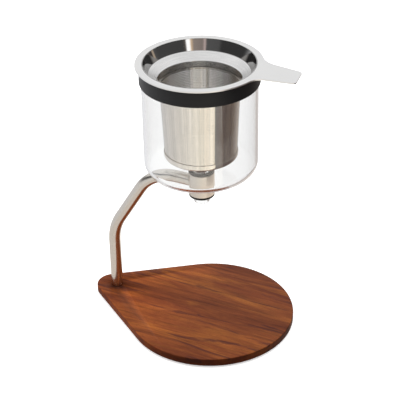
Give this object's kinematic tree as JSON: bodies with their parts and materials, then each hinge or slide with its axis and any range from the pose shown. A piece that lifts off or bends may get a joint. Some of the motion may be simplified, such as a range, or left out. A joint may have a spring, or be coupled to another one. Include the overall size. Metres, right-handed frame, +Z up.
{
  "type": "pour over coffee dripper",
  "caption": "Pour-over coffee dripper: teardrop wooden board, bent steel tube and collar, round glass vessel with a drain neck, lift-out steel basket filter with a handle.",
  "frame": {"origin": "on the resting plane, below the centre of the whole object's bounding box; the vessel's axis is at x = 0.0116, y = 0", "axes": "+Z up; +X from the tube towards the wide end of the board and the filter's handle; +Y to the left when looking along +X"},
  "size_m": [0.1987, 0.1532, 0.2615],
  "materials": {
    "wood": "oiled reddish hardwood",
    "black_silicone": "matte black silicone",
    "satin_steel": "warm satin stainless steel",
    "brushed_steel": "light brushed stainless steel",
    "polished_steel": "polished stainless steel with a brushed ledge",
    "mesh_steel": "fine etched stainless mesh",
    "zinc_steel": "zinc plated",
    "brass": "plain turned brass",
    "clear_glass": "clear borosilicate glass"
  },
  "bodies": {
    "stand": {"base_board": "wood", "foot_pad_1": "black_silicone", "foot_pad_2": "black_silicone", "foot_pad_3": "black_silicone", "foot_pad_4": "black_silicone", "base_screw": "zinc_steel", "flat_washer": "zinc_steel", "lock_washer": "zinc_steel", "tube_insert": "brass", "stand_tube": "satin_steel", "collar": "satin_steel", "lower_bush": "black_silicone"},
    "neck_bush": {"upper_bush": "black_silicone"},
    "vessel": {"glass_vessel": "clear_glass"},
    "gasket": {"rim_gasket": "black_silicone"},
    "filter": {"filter_flange": "brushed_steel", "filter_funnel": "polished_steel", "mesh_sleeve": "mesh_steel", "cup_ring": "brushed_steel", "bottom_mesh": "mesh_steel"}
  },
  "joints": [
    {"name": "vessel_turn", "type": "hinge", "parent": "stand", "child": "neck_bush", "pos_m": [0.0116, 0, 0.15], "axis": [0, 0, 1], "continuous": true},
    {"name": "vessel_lift", "type": "slide", "parent": "neck_bush", "child": "vessel", "axis": [0, 0, 1], "range_m": [0, 0.04]},
    {"name": "filter_turn", "type": "hinge", "parent": "vessel", "child": "gasket", "pos_m": [0.0116, 0, 0.255], "axis": [0, 0, 1], "continuous": true},
    {"name": "filter_lift", "type": "slide", "parent": "gasket", "child": "filter", "axis": [0, 0, 1], "range_m": [0, 0.105]}
  ]
}
